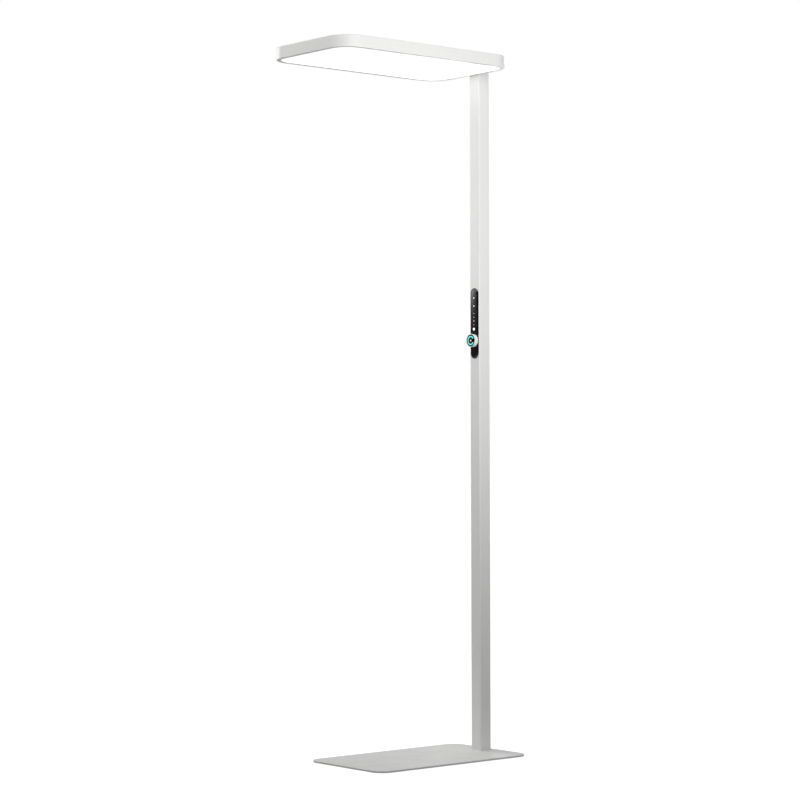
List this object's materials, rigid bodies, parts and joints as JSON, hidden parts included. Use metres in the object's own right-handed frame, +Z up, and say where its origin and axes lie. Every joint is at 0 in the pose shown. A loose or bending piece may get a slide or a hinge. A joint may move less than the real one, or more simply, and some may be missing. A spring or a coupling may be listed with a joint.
{
  "type": "office floor lamp",
  "caption": "Free-standing office floor lamp: flat rectangular light head on a slim square post and thin base plate, with a touch panel and a turn-and-push knob.",
  "frame": {"origin": "on the floor, at the middle of the lamp's bounding box in X and Y", "axes": "+Z up along the post, +X to the right, front towards -Y, where the head overhangs and the control panel faces"},
  "size_m": [0.336, 0.667, 1.95],
  "materials": {
    "white_powder_coat": "satin white powder coat on aluminium",
    "base_powder_coat": "fine-grained satin powder coat on steel",
    "grey_foam": "closed-cell foam sheet",
    "zinc_steel": "bright zinc plating",
    "white_screw": "painted screw heads",
    "white_moulding": "fine-textured moulding",
    "opal_diffuser": "opal acrylic, lit from within",
    "clear_acrylic": "clear polished acrylic",
    "reflector_film": "matt white film",
    "circuit_white": "white solder mask",
    "circuit_green": "green solder mask",
    "led_phosphor": "silicone over phosphor",
    "galvanised_sheet": "galvanised sheet",
    "driver_case": "moulded driver case",
    "terminal_plastic": "moulded terminals",
    "frosted_pane": "frosted acrylic",
    "black_gloss_panel": "polished black acrylic",
    "black_moulding": "black moulding",
    "smoked_window": "smoked acrylic",
    "milky_lens": "milky lens",
    "nickel_can": "nickel-plated can",
    "bush_brass": "turned brass",
    "display_module": "unlit display",
    "display_glass": "black-backed cover glass",
    "knob_white": "smooth white moulding",
    "magnet_black": "bonded ferrite",
    "cable_jacket": "white cable jacket"
  },
  "bodies": {
    "stand": {"base_plate": "base_powder_coat", "base_underlay": "grey_foam", "base_screws": "zinc_steel", "post_profile": "white_powder_coat", "post_foot_block": "zinc_steel", "foot_block_screws": "white_screw", "post_cap": "white_moulding", "cable_inlet": "white_moulding", "cable_inlet_nut": "white_moulding", "head_frame": "white_powder_coat", "lower_diffuser": "opal_diffuser", "light_guide": "clear_acrylic", "reflector_sheet": "reflector_film", "led_strips": "circuit_white", "led_chips": "led_phosphor", "gear_tray": "galvanised_sheet", "led_driver": "driver_case", "driver_screws": "zinc_steel", "terminal_block": "terminal_plastic", "tray_spacers": "zinc_steel", "uplight_boards": "circuit_white", "uplight_chips": "led_phosphor", "top_cover": "white_powder_coat", "cover_screws": "white_screw", "upper_diffusers": "frosted_pane", "head_bracket": "galvanised_sheet", "bracket_screws": "zinc_steel", "head_nut_plate": "zinc_steel", "head_bolts": "zinc_steel", "control_fascia": "black_gloss_panel", "control_housing": "black_moulding", "control_board": "circuit_green", "board_screws": "zinc_steel", "board_connector": "black_moulding", "light_pipes": "clear_acrylic", "indicator_leds": "led_phosphor", "daylight_sensor_window": "smoked_window", "motion_lens": "milky_lens", "motion_sensor": "nickel_can", "knob_bush": "bush_brass", "push_switch": "black_moulding", "control_cable": "cable_jacket", "cable_clips": "white_moulding"},
    "knob_core": {"knob_core": "black_moulding", "knob_retainer": "zinc_steel", "knob_display": "display_module", "knob_glass": "display_glass", "press_plate": "zinc_steel", "display_lead": "cable_jacket", "switch_plunger": "black_moulding"},
    "knob_ring": {"knob_ring": "knob_white", "knob_magnet": "magnet_black"}
  },
  "joints": [
    {"name": "knob_push", "type": "slide", "parent": "stand", "child": "knob_core", "axis": [0, 1, 0], "range_m": [0, 0.0006], "stiffness_N_per_m": 1500},
    {"name": "knob_turn", "type": "hinge", "parent": "knob_core", "child": "knob_ring", "pos_m": [0, 0.2695, 1.164], "axis": [0, 1, 0], "continuous": true}
  ]
}
